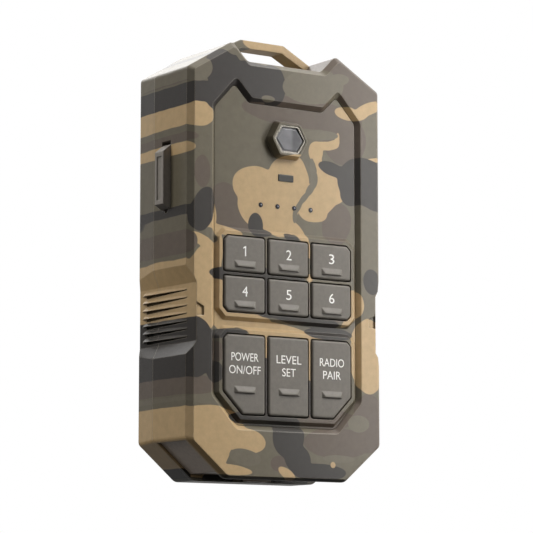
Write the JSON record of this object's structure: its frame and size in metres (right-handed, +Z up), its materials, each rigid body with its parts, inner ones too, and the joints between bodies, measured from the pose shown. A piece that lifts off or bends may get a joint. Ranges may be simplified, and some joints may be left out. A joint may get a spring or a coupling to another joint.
{
  "type": "electronic game caller",
  "caption": "Handheld electronic game caller in a chamfered two-shell case, with a front keypad, hexagonal window, hinged port cover, side louvres and a pull-off battery end cap.",
  "frame": {"origin": "centre of the flat foot under the rear shell", "axes": "+Z up along the tall direction, +Y from the keypad face towards the back, +X to the right for someone facing the keypad"},
  "size_m": [0.0729, 0.0323, 0.135],
  "materials": {
    "amplifier_board": "solder mask",
    "amplifier_parts": "moulded packages",
    "antenna": "wound wire",
    "audio_socket": "moulded",
    "battery_cells": "plain sleeve",
    "battery_cover": "satin, fine texture",
    "battery_leads": "insulated wire",
    "battery_tray": "moulded",
    "board_screws": "zinc plated",
    "cap_contacts": "nickel plated",
    "case_screws": "black zinc",
    "charge_socket": "nickel plated",
    "front_panel": "satin, moulded, camouflage film",
    "front_shell": "satin, moulded, camouflage film",
    "indicator_leds": "clear resin",
    "indicator_stripe": "smoked light guide",
    "key_1": "soft-touch satin, printed legends",
    "key_2": "soft-touch satin, printed legends",
    "key_3": "soft-touch satin, printed legends",
    "key_4": "soft-touch satin, printed legends",
    "key_5": "soft-touch satin, printed legends",
    "key_6": "soft-touch satin, printed legends",
    "key_pair": "soft-touch satin, printed legends",
    "key_power": "soft-touch satin, printed legends",
    "key_set": "soft-touch satin, printed legends",
    "keypad_mat": "silicone",
    "light_sensor": "dark clear resin",
    "main_board": "solder mask",
    "port_cover": "satin",
    "port_cover_pin": "ground",
    "radio_board": "solder mask",
    "radio_shield": "tinned",
    "rear_shell": "satin, moulded, camouflage film",
    "shell_seal": "matte",
    "socket_board": "solder mask",
    "speaker_leads": "insulated wire",
    "speaker_left": "moulded frame, steel magnet",
    "speaker_mesh_left": "fine woven mesh",
    "speaker_mesh_right": "fine woven mesh",
    "speaker_right": "moulded frame, steel magnet",
    "status_lights": "smoked light guides",
    "switch_domes": "stainless",
    "tray_contacts": "nickel plated",
    "window_glass": "smoked",
    "window_ring": "bright"
  },
  "bodies": {
    "housing": {"amplifier_board": "amplifier_board", "amplifier_parts": "amplifier_parts", "antenna": "antenna", "audio_socket": "audio_socket", "battery_cells": "battery_cells", "battery_leads": "battery_leads", "battery_tray": "battery_tray", "board_screws": "board_screws", "case_screws": "case_screws", "charge_socket": "charge_socket", "front_panel": "front_panel", "front_shell": "front_shell", "indicator_leds": "indicator_leds", "indicator_stripe": "indicator_stripe", "keypad_mat": "keypad_mat", "light_sensor": "light_sensor", "main_board": "main_board", "port_cover_pin": "port_cover_pin", "radio_board": "radio_board", "radio_shield": "radio_shield", "rear_shell": "rear_shell", "shell_seal": "shell_seal", "socket_board": "socket_board", "speaker_leads": "speaker_leads", "speaker_left": "speaker_left", "speaker_mesh_left": "speaker_mesh_left", "speaker_mesh_right": "speaker_mesh_right", "speaker_right": "speaker_right", "status_lights": "status_lights", "switch_domes": "switch_domes", "tray_contacts": "tray_contacts", "window_glass": "window_glass", "window_ring": "window_ring"},
    "key_1": {"key_1": "key_1"},
    "key_2": {"key_2": "key_2"},
    "key_3": {"key_3": "key_3"},
    "key_4": {"key_4": "key_4"},
    "key_5": {"key_5": "key_5"},
    "key_6": {"key_6": "key_6"},
    "key_pair": {"key_pair": "key_pair"},
    "key_power": {"key_power": "key_power"},
    "key_set": {"key_set": "key_set"},
    "port_flap": {"port_cover": "port_cover"},
    "end_cap": {"battery_cover": "battery_cover", "cap_contacts": "cap_contacts"}
  },
  "joints": [
    {"name": "key_1_press", "type": "slide", "parent": "housing", "child": "key_1", "axis": [0, 1, 0], "range_m": [0, 0.0005], "deforming": ["keypad_mat"]},
    {"name": "key_2_press", "type": "slide", "parent": "housing", "child": "key_2", "axis": [0, 1, 0], "range_m": [0, 0.0005], "deforming": ["keypad_mat"]},
    {"name": "key_3_press", "type": "slide", "parent": "housing", "child": "key_3", "axis": [0, 1, 0], "range_m": [0, 0.0005], "deforming": ["keypad_mat"]},
    {"name": "key_4_press", "type": "slide", "parent": "housing", "child": "key_4", "axis": [0, 1, 0], "range_m": [0, 0.0005], "deforming": ["keypad_mat"]},
    {"name": "key_5_press", "type": "slide", "parent": "housing", "child": "key_5", "axis": [0, 1, 0], "range_m": [0, 0.0005], "deforming": ["keypad_mat"]},
    {"name": "key_6_press", "type": "slide", "parent": "housing", "child": "key_6", "axis": [0, 1, 0], "range_m": [0, 0.0005], "deforming": ["keypad_mat"]},
    {"name": "key_pair_press", "type": "slide", "parent": "housing", "child": "key_pair", "axis": [0, 1, 0], "range_m": [0, 0.0005], "deforming": ["keypad_mat"]},
    {"name": "key_power_press", "type": "slide", "parent": "housing", "child": "key_power", "axis": [0, 1, 0], "range_m": [0, 0.0005], "deforming": ["keypad_mat"]},
    {"name": "key_set_press", "type": "slide", "parent": "housing", "child": "key_set", "axis": [0, 1, 0], "range_m": [0, 0.0005], "deforming": ["keypad_mat"]},
    {"name": "port_cover_hinge", "type": "hinge", "parent": "housing", "child": "port_flap", "pos_m": [-0.0342, -0.01135, 0.0983], "axis": [0, 1, 0], "range_deg": [0, 70]},
    {"name": "battery_cover_slide", "type": "slide", "parent": "housing", "child": "end_cap", "axis": [0, 0, -1], "range_m": [0, 0.012]}
  ]
}
